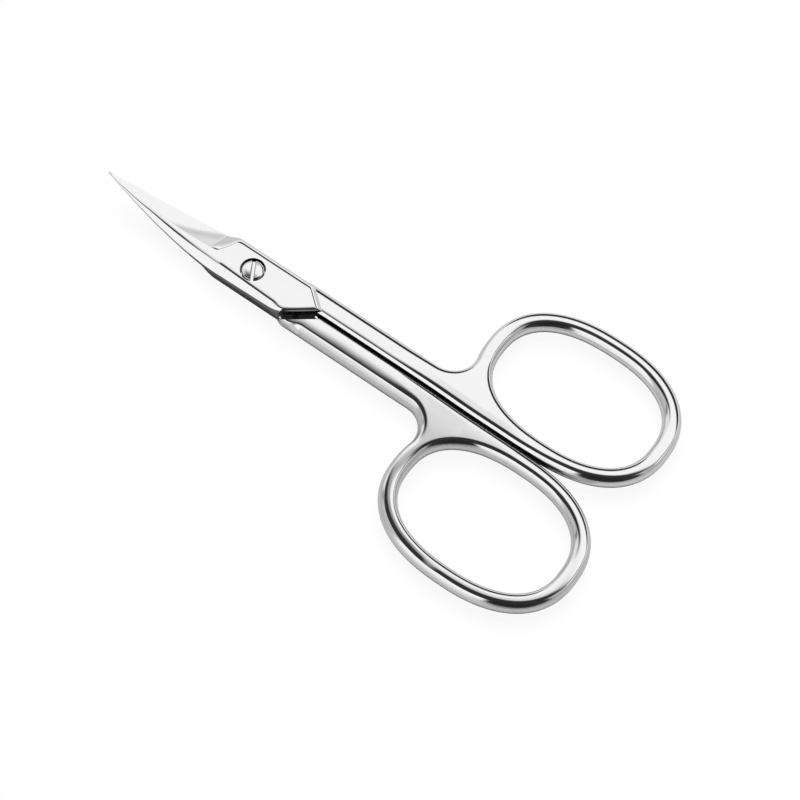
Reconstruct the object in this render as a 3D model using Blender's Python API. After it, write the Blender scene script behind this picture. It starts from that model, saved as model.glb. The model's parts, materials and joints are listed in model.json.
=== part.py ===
"""Eyebrow scissors: two forged halves with finger bows and upturned blades, on one slotted pivot screw.

Metres, +Z up. The tips point along -X, the bows along +X. The screw-side half is the upper one, its bow at +Y.
Each half is drawn in its own frame: pivot at the origin, joint plane at z = 0, body above it and bow at +Y.
The threaded half is the same drawing turned half a turn about X, with its blade curved the other way.
"""

import math

import bmesh
import bpy
import numpy as np
from mathutils import Matrix, Vector

# Lengths from the pivot
TIP_REACH = 0.02635
BOW_CENTRE_REACH = 0.0486

# Finger bows: the hole's box, the ring's oval section and how square the outline is
HOLE_LENGTH = 0.0252
HOLE_WIDTH = 0.0172
RING_WIDTH = 0.00274
RING_THICKNESS = 0.00257
RING_CROWN = 0.00102
BOW_SQUARENESS_SHARE = 2.36

# Shanks: from the inner wall at the axis to the crown of the outer side
SHANK_GAP = 0.0004
SHANK_WIDTH = 0.00365
SHANK_STEP = 0.00032
SHANK_CROWN = 0.00093
CROWN_START = 0.0086
CROWN_RUN_LENGTH = 0.0023
CROWN_LEAST_SHARE = 0.1
INNER_CHAMFER = 0.0004
INNER_TURN_SHARE = 0.8
WEB_FILLET = 0.0037
WEB_TAPER_LENGTH = 0.0092
FLARE_START = 0.0059
FLARE_LENGTH = 0.0021

# Joint: both plates together, the chevron that ends each plate and the shoulder behind it
JOINT_WIDTH = 0.0064
JOINT_THICKNESS = 0.0040
JOINT_CHAMFER = 0.00063
CHEVRON_START = 0.00693
CHEVRON_CORNER = 0.0005
CHEVRON_ANGLE = math.radians(37.4)
CHEVRON_CHAMFER = 0.0003
LEDGE_START = 0.0085
LEDGE_ANGLE = math.radians(40)
LEDGE_WIDTH = 0.0005
LEDGE_SUNK = 0.0001
SHOULDER_CLEARANCE = 0.00022
SHOULDER_RISE = 0.0004
SHOULDER_SLOPE_SHARE = 0.6
CONTACT_GAP = 0.00006

# Blades: the joint plane turns up towards the tips as a surface of revolution about the pivot
RISE_START = 0.006
BLADE_RISE = 0.0029
TAPER_START = 0.0045
TIP_HALF_WIDTH = 0.00006
TIP_THICKNESS = 0.00016
EDGE_THICKNESS = 0.00004
FLAT_WIDTH = 0.0016
HOLLOW_DEPTH = 0.00012
HEEL_START = 0.0074
HEEL_LENGTH = 0.0029
HEEL_CURVE_SHARE = 1.6
BLADE_BELLY_SHARE = 1.4
BACK_CHAMFER = 0.0011
BACK_THICKNESS_SHARE = 0.6
CHAMFER_THICKNESS_SHARE = 0.5
CHAMFER_WIDTH_SHARE = 0.5

# Pivot screw: a sunk slotted head above, its thread's end flush below
HEAD_DIAMETER = 0.0033
HEAD_THICKNESS = 0.00078
HEAD_DOME = 0.00016
HEAD_SUNK = 0.00014
RECESS_CLEARANCE = 0.00024
SEAT_CLEARANCE = 0.00003
SCREW_DIAMETER = 0.0020
SCREW_END_CHAMFER = 0.00015
SCREW_END_SUNK = 0.00005
THREAD_CLEARANCE = 0.00003
RUNNING_CLEARANCE = 0.00005
SLOT_WIDTH = 0.00045
SLOT_DEPTH = 0.00042
SLOT_TURN = math.radians(30)

# Facet counts
RING_POINTS = 52
FILLET_POINTS = 7
FILLET_STEPS = 720
FLARE_POINTS = 12
SHANK_POINTS = 4
WEB_STATIONS = 7
BLADE_STATIONS = 17
PLATE_STATIONS = 4
DOME_POINTS = 5
ROUND_POINTS = 40
GRIND_POINTS = 7
LEVEL_SHARES = (0.0, 0.36, 0.62, 0.8, 0.92, 1.0)
CORNER_SHARES = (-2.4, -1.1, -0.4, 0.2, 0.9, 2.2)
SHARP_ANGLE = math.radians(28)

OVERRUN = 0.001
NARROWEST = 0.00004
SAME_POINT = 0.000001

# Derived sizes
HALF_JOINT = JOINT_THICKNESS / 2
HALF_WIDTH = JOINT_WIDTH / 2
HALF_SHANK = HALF_JOINT - SHANK_STEP
HALF_RING = RING_THICKNESS / 2
INNER_WALL = SHANK_GAP / 2
CROWN_WALL = INNER_WALL + SHANK_WIDTH
BOW_CENTRE_SIDE = INNER_WALL + RING_WIDTH + HOLE_WIDTH / 2
BOW_CENTRE = np.array((BOW_CENTRE_REACH, BOW_CENTRE_SIDE))
RING_HALF_LENGTH = (HOLE_LENGTH + RING_WIDTH) / 2
RING_HALF_WIDTH = (HOLE_WIDTH + RING_WIDTH) / 2
BOW_REACH = BOW_CENTRE_REACH + RING_HALF_LENGTH + RING_WIDTH / 2
BOW_HEEL = BOW_CENTRE_REACH - RING_HALF_LENGTH - RING_WIDTH / 2
HALF_CONTACT = CONTACT_GAP / 2
LEDGE_DROP = SHANK_STEP + LEDGE_SUNK
LEDGE_INSET = LEDGE_WIDTH / math.cos(LEDGE_ANGLE) * LEDGE_DROP / SHANK_STEP
LEDGE_TURN = LEDGE_START + (LEDGE_INSET - JOINT_CHAMFER) / math.tan(LEDGE_ANGLE)
HEAD_TOP = HALF_JOINT - HEAD_SUNK
HEAD_SEAT = HEAD_TOP - HEAD_DOME - HEAD_THICKNESS
RECESS_RADIUS = HEAD_DIAMETER / 2 + RECESS_CLEARANCE
BORE_RADIUS = SCREW_DIAMETER / 2 + RUNNING_CLEARANCE
THREAD_HOLE_RADIUS = SCREW_DIAMETER / 2 + THREAD_CLEARANCE

# Where the plate's top face ends, between the chevron's edge and the ledge's
CHEVRON_SLOPE = math.tan(CHEVRON_ANGLE)
LEDGE_SLOPE = math.tan(LEDGE_ANGLE)
FACE_WIDTH = JOINT_WIDTH - JOINT_CHAMFER - CHEVRON_CHAMFER
EDGE_SUM = FACE_WIDTH + CHEVRON_START * CHEVRON_SLOPE + LEDGE_START * LEDGE_SLOPE
PLATE_END = EDGE_SUM / (CHEVRON_SLOPE + LEDGE_SLOPE)

# The part's origin is the middle of its box, on the surface that it lies on
ORIGIN = Vector(((BOW_REACH - TIP_REACH) / 2, 0.0, -HALF_JOINT))


def smooth_step(value):
    value = np.clip(value, 0.0, 1.0)
    return value * value * (3.0 - 2.0 * value)


def contact_rise(x, y):
    """Height of the surface where the halves meet, over the flat joint plane."""
    reach = np.hypot(x, y)
    share = np.clip((reach - RISE_START) / (TIP_REACH - RISE_START), 0.0, None)
    return BLADE_RISE * share**2


def thickness(x):
    """Thickness of one half over the contact surface."""
    share = np.clip((-x - TAPER_START) / (TIP_REACH - TAPER_START), 0.0, 1.0)
    return HALF_JOINT + (TIP_THICKNESS - HALF_JOINT) * share


def half_width(x):
    """Distance of the blade's back and edge from the axis, with a slight belly."""
    share = np.clip((-x - TAPER_START) / (TIP_REACH - TAPER_START), 0.0, 1.0)
    return HALF_WIDTH + (TIP_HALF_WIDTH - HALF_WIDTH) * share**BLADE_BELLY_SHARE


def slenderness(x):
    return np.minimum(1.0, half_width(x) / (HALF_WIDTH * CHAMFER_WIDTH_SHARE))


def plate_chamfer(x):
    """Width of the 45 degree chamfer along the side towards its own bow."""
    return slenderness(x) * np.minimum(JOINT_CHAMFER, thickness(x) * CHAMFER_THICKNESS_SHARE)


def back_chamfer(x):
    """Width of the 45 degree chamfer along the back, widest where the blade leaves the plate."""
    from_chevron = np.clip((CHEVRON_START - x) / (CHEVRON_START + TAPER_START), 0.0, 1.0)
    wide = JOINT_CHAMFER + (BACK_CHAMFER - JOINT_CHAMFER) * from_chevron
    return slenderness(x) * np.minimum(wide, thickness(x) * BACK_THICKNESS_SHARE)


def shank_side(x):
    """Outer side of the shank at its crown, which flares out behind the joint."""
    return HALF_WIDTH + (CROWN_WALL - HALF_WIDTH) * smooth_step((x - FLARE_START) / FLARE_LENGTH)


def web_share(x):
    """0 on the shank and 1 on the ring of the bow."""
    return smooth_step((x - BOW_HEEL + WEB_FILLET) / WEB_TAPER_LENGTH)


def half_height(x):
    return HALF_SHANK + (HALF_RING - HALF_SHANK) * web_share(x)


def new_object(name, bm):
    bmesh.ops.recalc_face_normals(bm, faces=bm.faces)
    mesh = bpy.data.meshes.new(name)
    bm.to_mesh(mesh)
    bm.free()
    obj = bpy.data.objects.new(name, mesh)
    bpy.context.scene.collection.objects.link(obj)
    return obj


def as_cutter(obj):
    obj.hide_render = True
    obj.display_type = "WIRE"
    return obj


def combine(obj, other, operation):
    """Adds a Boolean that joins or cuts with a hidden helper."""
    modifier = obj.modifiers.new(other.name, "BOOLEAN")
    modifier.operation = operation
    modifier.solver = "EXACT"
    modifier.object = as_cutter(other)


def loft(name, sections):
    """A closed solid through sections of as many points each, with capped ends."""
    bm = bmesh.new()
    rings = [[bm.verts.new(point) for point in section] for section in sections]
    count = len(rings[0])
    for first, second in zip(rings, rings[1:]):
        for i in range(count):
            j = (i + 1) % count
            bm.faces.new((first[i], first[j], second[j], second[i]))
    bm.faces.new(rings[0])
    bm.faces.new(rings[-1])
    bmesh.ops.triangulate(bm, faces=bm.faces)
    return new_object(name, bm)


def turned(name, profile):
    """A solid of revolution about Z from (radius, height) points that start and end on the axis."""
    sections = []
    for i in range(ROUND_POINTS):
        angle = 2 * math.pi * i / ROUND_POINTS
        turn = Matrix.Rotation(angle, 3, "Z")
        sections.append([turn @ Vector((radius, 0.0, height)) for radius, height in profile])
    bm = bmesh.new()
    ends = (bm.verts.new(sections[0][0]), bm.verts.new(sections[0][-1]))
    rings = [[bm.verts.new(point) for point in section[1:-1]] for section in sections]
    for i, ring in enumerate(rings):
        after = rings[(i + 1) % ROUND_POINTS]
        bm.faces.new((ends[0], ring[0], after[0]))
        bm.faces.new((ring[-1], ends[1], after[-1]))
        for j in range(len(ring) - 1):
            bm.faces.new((ring[j], ring[j + 1], after[j + 1], after[j]))
    return new_object(name, bm)


def plate_low(x):
    """Side of the plate away from its own bow: straight, then in along the chevron with a rounded corner."""
    slant = (x - CHEVRON_START) * CHEVRON_SLOPE
    return -half_width(x) + (slant + math.hypot(slant, CHEVRON_CORNER)) / 2


def ledge_side(x):
    """Top edge of the ledge, where the plate steps down to the shank."""
    return HALF_WIDTH - JOINT_CHAMFER - (x - LEDGE_START) * LEDGE_SLOPE


def plate_high(x):
    """Side of the plate towards its own bow: straight, then in along the ledge's foot inside the shank."""
    return min(half_width(x), ledge_side(x) + LEDGE_INSET)


def front_section(x, rise_sign):
    """One section of blade or plate: flat or curved underside, walls and chamfered top."""
    low = plate_low(x)
    high = plate_high(x)
    top = thickness(x) if x <= PLATE_END else HALF_SHANK - LEDGE_SUNK
    on_chevron = smooth_step((x - CHEVRON_START) / CHEVRON_CORNER)
    low_drop = back_chamfer(x) + (CHEVRON_CHAMFER - back_chamfer(x)) * on_chevron
    high_drop = plate_chamfer(x) if x <= LEDGE_START else LEDGE_DROP
    low_top = low + low_drop
    high_top = min(high - plate_chamfer(x), ledge_side(x))
    middle = min(max((low_top + high_top) / 2, low + NARROWEST), high - NARROWEST)
    low_top = min(low_top, middle - NARROWEST / 2)
    high_top = max(high_top, middle + NARROWEST / 2)
    plan = (
        (low, 0.0),
        ((low + high) / 2, 0.0),
        (high, 0.0),
        (high, top - high_drop),
        (high_top, top),
        (low_top, top),
        (low, top - low_drop),
    )
    points = []
    for y, over in plan:
        contact = rise_sign * contact_rise(x, y)
        points.append((x, y, contact + max(over, HALF_CONTACT)))
    return points


def front_stations():
    blade = np.linspace(-TIP_REACH, -RISE_START, BLADE_STATIONS)
    corner = [CHEVRON_START + share * CHEVRON_CORNER for share in CORNER_SHARES]
    plate = np.linspace(-RISE_START, corner[0], PLATE_STATIONS)
    ends = (-TAPER_START, LEDGE_START, LEDGE_TURN, PLATE_END, PLATE_END + LEDGE_WIDTH)
    return np.unique(np.concatenate((blade, plate, corner, ends)))


def front_body(name, rise_sign):
    return loft(name, [front_section(x, rise_sign) for x in front_stations()])


def ground_height(x, y, rise_sign):
    """Hollow-ground face from the flat beside the back's ridge to the cutting edge, run out at the heel."""
    edge = half_width(x)
    top = thickness(x)
    slender = np.minimum(1.0, edge / HALF_WIDTH)
    start = -edge + back_chamfer(x) + FLAT_WIDTH * slender**2
    share = (y - start) / (edge - start)
    hollow = 4 * HOLLOW_DEPTH * slender * np.clip(share, 0.0, 1.0) * np.clip(1.0 - share, 0.0, 1.0)
    run_out = HALF_JOINT * np.clip((x + HEEL_START) / HEEL_LENGTH, 0.0, None) ** HEEL_CURVE_SHARE
    contact = rise_sign * contact_rise(x, y)
    return contact + EDGE_THICKNESS + (top - EDGE_THICKNESS) * (1.0 - share) - hollow + run_out


def grinding_cutter(name, rise_sign):
    """A solid whose underside is the ground face and whose top clears the blade."""
    stations = np.concatenate((
        [-TIP_REACH - OVERRUN],
        np.linspace(-TIP_REACH, -HEEL_START, BLADE_STATIONS),
        np.linspace(-HEEL_START, HEEL_LENGTH - HEEL_START, GRIND_POINTS)[1:],
    ))
    ceiling = JOINT_THICKNESS + BLADE_RISE
    sections = []
    for x in stations:
        edge = half_width(max(x, -TIP_REACH))
        sides = np.linspace(-edge, edge, GRIND_POINTS)
        sides = np.append(sides, edge + OVERRUN)
        under = [(x, y, ground_height(x, y, rise_sign)) for y in sides]
        under[-1] = (x, sides[-1], under[-2][2] - OVERRUN)
        sections.append([(x, sides[0], ceiling)] + under + [(x, sides[-1], ceiling)])
    return loft(name, sections)


def ring_middle(angle):
    """Middle line of the bow's ring, a squared ellipse, with its outward normal."""
    power = 2.0 / BOW_SQUARENESS_SHARE
    c = math.cos(angle)
    s = math.sin(angle)
    x = RING_HALF_LENGTH * math.copysign(abs(c) ** power, c)
    y = RING_HALF_WIDTH * math.copysign(abs(s) ** power, s)
    rest = BOW_SQUARENESS_SHARE - 1.0
    normal = np.array((
        math.copysign(abs(x / RING_HALF_LENGTH) ** rest / RING_HALF_LENGTH, x),
        math.copysign(abs(y / RING_HALF_WIDTH) ** rest / RING_HALF_WIDTH, y),
    ))
    return BOW_CENTRE + np.array((x, y)), normal / np.linalg.norm(normal)


def ring_points(first, last, count, side):
    """Points and normals along the ring's outer side (1) or its hole (-1)."""
    found = []
    for angle in np.linspace(first, last, count):
        middle, normal = ring_middle(angle)
        found.append((middle + side * normal * RING_WIDTH / 2, side * normal))
    return found


def web_fillet():
    """Arc from the shank's outer side into the ring, and the angle on the ring where it ends."""
    height = CROWN_WALL + WEB_FILLET
    best = None
    for step in range(FILLET_STEPS + 1):
        angle = math.pi + math.pi / 2 * step / FILLET_STEPS
        middle, normal = ring_middle(angle)
        centre = middle + normal * (RING_WIDTH / 2 + WEB_FILLET)
        miss = abs(centre[1] - height)
        if best is None or miss < best[0]:
            best = (miss, angle, centre, normal)
    _, angle, centre, normal = best
    start = math.atan2(-1.0, 0.0)
    end = math.atan2(-normal[1], -normal[0])
    found = []
    for turn in np.linspace(start, end, FILLET_POINTS):
        outward = np.array((math.cos(turn), math.sin(turn)))
        found.append((centre + outward * WEB_FILLET, -outward))
    return found, angle


def handle_outline():
    """The handle's outer line in plan: its outer side, round the bow and back along the axis."""
    fillet, ring_start = web_fillet()
    root = CHEVRON_START - OVERRUN
    flare_end = CROWN_START + CROWN_RUN_LENGTH
    flare = np.linspace(root, flare_end, FLARE_POINTS, endpoint=False)
    straight = np.linspace(flare_end, fillet[0][0][0], SHANK_POINTS, endpoint=False)
    outer = []
    for x in np.concatenate((flare, straight)):
        outer.append((np.array((x, shank_side(x) - SEAT_CLEARANCE)), np.array((0.0, 1.0))))
    ring = ring_points(ring_start, -math.pi / 2, RING_POINTS, 1)[1:]
    inner = []
    for x in np.linspace(BOW_CENTRE_REACH, root, SHANK_POINTS)[1:]:
        inner.append((np.array((x, INNER_WALL)), np.array((0.0, -1.0))))
    return outer + fillet + ring + inner


def side_inset(point, normal, level):
    """How far a side lies inside its outline at a share of the half height, above or below the middle."""
    x, y = point
    high = half_height(x)
    web = web_share(x)
    crown = SHANK_CROWN + (RING_CROWN - SHANK_CROWN) * web
    if level < 0.0:
        grown = smooth_step((x - CROWN_START) / CROWN_RUN_LENGTH)
        crown *= CROWN_LEAST_SHARE + (1.0 - CROWN_LEAST_SHARE) * grown
    radius = (high**2 + crown**2) / (2 * crown)
    crowned = radius - math.sqrt(radius**2 - (high * level) ** 2)
    chamfered = max(0.0, INNER_CHAMFER - high * (1.0 - abs(level)))
    faces_axis = smooth_step((-normal[1] - INNER_TURN_SHARE) / (1.0 - INNER_TURN_SHARE))
    runs_out = smooth_step((x - BOW_CENTRE_REACH + WEB_FILLET) / WEB_TAPER_LENGTH)
    along_axis = faces_axis * (1.0 - runs_out) * float(y < RING_WIDTH)
    return crowned + (chamfered - crowned) * along_axis


def handle_body(name):
    """Shank, web and bow: the outline and the hole raised through levels, with filled top and underside."""
    bm = bmesh.new()
    hole = ring_points(0.0, 2 * math.pi, RING_POINTS + 1, -1)[:-1]
    ends = {1: [], -1: []}
    for line in (handle_outline(), hole):
        shares = [-level for level in reversed(LEVEL_SHARES[1:])] + list(LEVEL_SHARES)
        rings = []
        for share in shares:
            ring = []
            for point, normal in line:
                x, y = point - normal * side_inset(point, normal, share)
                ring.append(bm.verts.new((x, y, share * HALF_SHANK)))
            rings.append(ring)
        count = len(line)
        for lower, upper in zip(rings, rings[1:]):
            for i in range(count):
                j = (i + 1) % count
                bm.faces.new((lower[i], lower[j], upper[j], upper[i]))
        for side, ring in ((1, rings[-1]), (-1, rings[0])):
            for i in range(count):
                ends[side].append(bm.edges.get((ring[i], ring[(i + 1) % count])))
    for side, edges in ends.items():
        bmesh.ops.triangle_fill(bm, use_beauty=True, use_dissolve=False, edges=edges, normal=(0.0, 0.0, side))
    taper(bm)
    bmesh.ops.triangulate(bm, faces=bm.faces)
    return new_object(name, bm)


def taper(bm):
    """Cuts the body across in the web and brings it down there from the shank's height to the ring's."""
    start = BOW_HEEL - WEB_FILLET
    for x in np.linspace(start, start + WEB_TAPER_LENGTH, WEB_STATIONS):
        everything = bm.verts[:] + bm.edges[:] + bm.faces[:]
        at = Vector((x, 0.0, 0.0))
        bmesh.ops.bisect_plane(bm, geom=everything, dist=SAME_POINT, plane_co=at, plane_no=at.normalized())
    for vert in bm.verts:
        vert.co.z *= half_height(vert.co.x) / HALF_SHANK


def shoulder_cutter(name):
    """Clears the other half's plate: everything under the joint plane ahead of a sloped shoulder."""
    across = Vector((math.sin(CHEVRON_ANGLE), math.cos(CHEVRON_ANGLE), 0.0))
    along = Vector((math.cos(CHEVRON_ANGLE), -math.sin(CHEVRON_ANGLE), 0.0))
    corner = Vector((CHEVRON_START, HALF_WIDTH, 0.0))
    ceiling = SHOULDER_RISE
    floor = -HALF_SHANK - OVERRUN
    behind = SHOULDER_CLEARANCE
    profile = (
        (behind - ceiling * SHOULDER_SLOPE_SHARE, ceiling),
        (behind - floor * SHOULDER_SLOPE_SHARE, floor),
        (-BOW_REACH, floor),
        (-BOW_REACH, ceiling),
    )
    sections = []
    for reach in (-BOW_REACH, BOW_REACH):
        sections.append([corner + along * reach + across * d + Vector((0.0, 0.0, z)) for d, z in profile])
    return loft(name, sections)


def cylinder_cutter(name, radius, bottom, top):
    return turned(name, ((0.0, top), (radius, top), (radius, bottom), (0.0, bottom)))


def steel(name, colour, roughness):
    material = bpy.data.materials.new(name)
    material.use_nodes = True
    shader = material.node_tree.nodes["Principled BSDF"]
    shader.inputs["Base Color"].default_value = (*colour, 1.0)
    shader.inputs["Metallic"].default_value = 1.0
    shader.inputs["Roughness"].default_value = roughness
    return material


def finish(obj, material):
    """Gives the object its material and smooth shading with sharp edges."""
    obj.data.materials.append(material)
    obj.data.shade_smooth()
    obj.data.set_sharp_from_angle(angle=SHARP_ANGLE)


def scissor_half(name, rise_sign, cutters):
    """One forging: handle with its shoulder cut, joined to plate and blade, then ground and bored."""
    half = handle_body(name)
    combine(half, shoulder_cutter(name + "_shoulder"), "DIFFERENCE")
    combine(half, front_body(name + "_front", rise_sign), "UNION")
    combine(half, grinding_cutter(name + "_grind", rise_sign), "DIFFERENCE")
    for cutter in cutters:
        combine(half, cutter, "DIFFERENCE")
    return half


def screw_profile():
    """Half section from the dome's crown down to the thread's flush end."""
    head = HEAD_DIAMETER / 2
    stem = SCREW_DIAMETER / 2
    end = -HALF_JOINT + SCREW_END_SUNK
    rim = HEAD_TOP - HEAD_DOME
    angles = np.linspace(0.0, math.pi / 2, DOME_POINTS)
    dome = [(head * math.sin(angle), rim + HEAD_DOME * math.cos(angle)) for angle in angles]
    return dome + [
        (head, HEAD_SEAT),
        (stem, HEAD_SEAT),
        (stem, end + SCREW_END_CHAMFER),
        (stem - SCREW_END_CHAMFER, end),
        (0.0, end),
    ]


def slot_cutter(name):
    bm = bmesh.new()
    bmesh.ops.create_cube(bm, size=1.0)
    slot = new_object(name, bm)
    size = Matrix.Diagonal((SLOT_WIDTH, HEAD_DIAMETER + OVERRUN, SLOT_DEPTH + OVERRUN, 1.0))
    place = Matrix.Translation((0.0, 0.0, HEAD_TOP - SLOT_DEPTH + (SLOT_DEPTH + OVERRUN) / 2))
    slot.data.transform(place @ Matrix.Rotation(SLOT_TURN, 4, "Z") @ size)
    return slot


def pivot_screw(name):
    screw = turned(name, screw_profile())
    combine(screw, slot_cutter(name + "_slot"), "DIFFERENCE")
    return screw


def main():
    for obj in list(bpy.data.objects):
        bpy.data.objects.remove(obj)

    polished = steel("polished_steel", (0.78, 0.78, 0.79), 0.08)
    screw_steel = steel("screw_steel", (0.80, 0.80, 0.81), 0.12)

    pivot = bpy.data.objects.new("pivot_axis", None)
    bpy.context.scene.collection.objects.link(pivot)
    pivot.location = -ORIGIN

    through = JOINT_THICKNESS + OVERRUN
    top_cutters = (
        cylinder_cutter("screw_recess", RECESS_RADIUS, HEAD_SEAT - SEAT_CLEARANCE, through),
        cylinder_cutter("screw_bore", BORE_RADIUS, -through, through),
    )
    top = scissor_half("top_half", 1.0, top_cutters)
    thread_hole = cylinder_cutter("thread_hole", THREAD_HOLE_RADIUS, -through, through)
    bottom = scissor_half("bottom_half", -1.0, (thread_hole,))
    screw = pivot_screw("pivot_screw")
    finish(top, polished)
    finish(bottom, polished)
    finish(screw, screw_steel)

    for half, turn in ((top, 0.0), (bottom, math.pi)):
        half.parent = pivot
        half.rotation_euler = (turn, 0.0, 0.0)
        for modifier in half.modifiers:
            modifier.object.parent = half
    screw.parent = pivot
    screw.modifiers[0].object.parent = screw


main()
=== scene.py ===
"""Eyebrow scissors in a studio: two polished halves with finger bows and upturned blades, and their screw.

Metres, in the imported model's frame. Each half is worked out in its own frame, with the pivot at the
origin, the joint plane at z = 0, its body above it and its bow at +Y, and is then turned and moved to its
place. There rise_sign is 1.0 for the upper half, whose blade bends upwards, and -1.0 for the lower half,
which is turned over. The first constants are those of the solids. The ones called SEEN, and the roundings
and dips, are what polishing makes of them.
"""

import json
import math

import bmesh
import bpy
import numpy as np
from bpy.props import FloatProperty, FloatVectorProperty, PointerProperty
from mathutils import Matrix, Vector
from mathutils.geometry import delaunay_2d_cdt


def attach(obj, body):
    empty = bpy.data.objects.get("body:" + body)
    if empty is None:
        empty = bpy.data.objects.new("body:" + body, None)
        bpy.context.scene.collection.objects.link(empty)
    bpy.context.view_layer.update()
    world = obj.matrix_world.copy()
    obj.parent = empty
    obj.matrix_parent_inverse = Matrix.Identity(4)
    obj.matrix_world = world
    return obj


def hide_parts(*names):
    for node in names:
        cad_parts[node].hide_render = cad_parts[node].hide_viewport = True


bl_info = {
    "name": "Eyebrow scissors",
    "version": (1, 0, 0),
    "blender": (4, 5, 0),
    "location": "View3D > Sidebar > Scissors",
    "description": "Builds polished eyebrow scissors and a pale studio",
    "category": "Add Mesh",
}

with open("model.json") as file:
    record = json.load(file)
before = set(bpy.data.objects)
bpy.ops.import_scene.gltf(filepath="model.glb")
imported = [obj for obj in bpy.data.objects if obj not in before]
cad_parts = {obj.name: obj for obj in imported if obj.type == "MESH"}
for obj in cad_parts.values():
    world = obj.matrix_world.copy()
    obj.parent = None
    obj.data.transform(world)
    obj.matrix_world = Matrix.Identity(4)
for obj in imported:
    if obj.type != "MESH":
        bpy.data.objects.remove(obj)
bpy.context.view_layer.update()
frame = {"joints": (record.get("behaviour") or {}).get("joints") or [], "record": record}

# Place of the pivot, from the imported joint
JOINT = frame["joints"][0]
PIVOT = np.array(JOINT["pos_m"])

# Lengths from the pivot
TIP_REACH = 0.02635
BOW_CENTRE_REACH = 0.0486

# Finger bows
HOLE_LENGTH = 0.0252
HOLE_WIDTH = 0.0172
RING_WIDTH = 0.00274
RING_THICKNESS = 0.00257
BOW_SQUARENESS = 2.36

# Shanks
SHANK_GAP = 0.0004
SHANK_WIDTH = 0.00365
SHANK_STEP = 0.00032
SHANK_CROWN = 0.00093
CROWN_START = 0.0086
CROWN_RUN_LENGTH = 0.0023
CROWN_LEAST = 0.1
INNER_CHAMFER = 0.0004
INNER_TURN = 0.8
WEB_FILLET = 0.0037
WEB_TAPER_LENGTH = 0.0092
FLARE_START = 0.0059
FLARE_LENGTH = 0.0021

# Joint
JOINT_WIDTH = 0.0064
JOINT_THICKNESS = 0.0040
JOINT_CHAMFER = 0.00063
CHEVRON_START = 0.00693
CHEVRON_CORNER = 0.0005
CHEVRON_ANGLE = math.radians(37.4)
CHEVRON_CHAMFER = 0.0003
LEDGE_START = 0.0085
LEDGE_ANGLE = math.radians(40)
LEDGE_WIDTH = 0.0005
LEDGE_SUNK = 0.0001
SHOULDER_CLEARANCE = 0.00022
SHOULDER_RISE = 0.0004
SHOULDER_SLOPE = 0.6
CONTACT_GAP = 0.00006

# Blades
RISE_START = 0.006
BLADE_RISE = 0.0029
TAPER_START = 0.0045
TIP_HALF_WIDTH = 0.00006
TIP_THICKNESS = 0.00016
EDGE_THICKNESS = 0.00004
FLAT_WIDTH = 0.0016
HOLLOW_DEPTH = 0.00012
HEEL_START = 0.0074
HEEL_LENGTH = 0.0029
HEEL_CURVE = 1.6
BLADE_BELLY = 1.4
BACK_CHAMFER = 0.0011
BACK_THICKNESS_SHARE = 0.6
CHAMFER_THICKNESS_SHARE = 0.5
CHAMFER_WIDTH_SHARE = 0.5

# Screw
HEAD_DIAMETER = 0.0033
HEAD_THICKNESS = 0.00078
HEAD_DOME = 0.00016
HEAD_SUNK = 0.00014
HEAD_RIM_WIDTH = 0.00042
HEAD_RIM_DROP = 0.00018
HEAD_DOME_SEEN = 0.00009
HEAD_RAISED = 0.00010
SLOT_CHAMFER = 0.00011
RECESS_CLEARANCE = 0.00024
SEAT_CLEARANCE = 0.00003
SCREW_DIAMETER = 0.0020
SCREW_END_CHAMFER = 0.00015
SCREW_END_SUNK = 0.00005
THREAD_CLEARANCE = 0.00003
RUNNING_CLEARANCE = 0.00005
SLOT_WIDTH = 0.00045
SLOT_DEPTH = 0.00042
SLOT_TURN = math.radians(30)

# Roundings that polishing leaves on the edges: radii, and widths over which two faces blend
SIDE_ROUNDING = 0.00034
CHAMFER_ROUNDING = 0.00012
RIDGE_ROUNDING = 0.00020
CHEVRON_RIDGE_SHARE = 0.4
LEDGE_ROUNDING = 0.00012
GROUND_ROUNDING = 0.00001
HEEL_ROUNDING = 0.00060
HEEL_BLEND_RATE = 2
FULL_RIDGE_THICKNESS = 0.0012
CORNER_BLEND_START = 0.0054
CORNER_BLEND_LENGTH = 0.0019

# Dips of the faces towards their edges: width and depth
PILLOW_WIDTH = 0.00060
PILLOW_SAG = 0.00007
LOW_PILLOW = 0.35
FULL_DIP_GAIN = 1.5
BOW_PILLOW = (0.0005, 0.000050)
AXIS_PILLOW = (0.0005, 0.0000175)
UNDER_PILLOW = (0.0014, 0.000043)

# Crowns and chamfers as they are seen
RING_CROWN_FAR = 0.00050
RING_CROWN_NEAR = 0.00088
SHANK_CROWN_SEEN = 0.00068
PLATE_CHAMFER_SEEN = {1.0: 0.00038, -1.0: 0.0010}  # by rise_sign
HOLLOW_SEEN_SHARE = 0.4

# Noise of the finish: lumps to the metre along each axis, and detail
WAVES = ((160.0, 160.0, 160.0), 1.0)
CLOUDS = ((900.0, 900.0, 900.0), 4.0)
HAIRLINES = ((700.0, 9000.0, 9000.0), 3.0)
TURNING_LINES = ((14000.0, 0.0, 0.0), 3.0)
STREAKS = ((260.0, 260.0, 7000.0), 3.0)

# What the noise and the marked faces do to tone, roughness and relief
CLOUD_TONE = 0.06
CLOUD_ROUGHNESS = 0.05
SIDE_DARKER = 0.16
STREAK_TONE = 0.30
SIDE_ROUGHNESS = 0.24
STREAK_ROUGHNESS = 0.25
# How much painted shade darkens the colour of walls in gaps, in the screw's recess and slot, and under the
# back chamfer
PAINTED_SHADE_DARKER = 0.86
DULL_ROUGHNESS = 0.35
WAVE_HEIGHT = 0.00002
HAIRLINE_HEIGHT = 0.0000004
STREAK_HEIGHT = 0.000004

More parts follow.
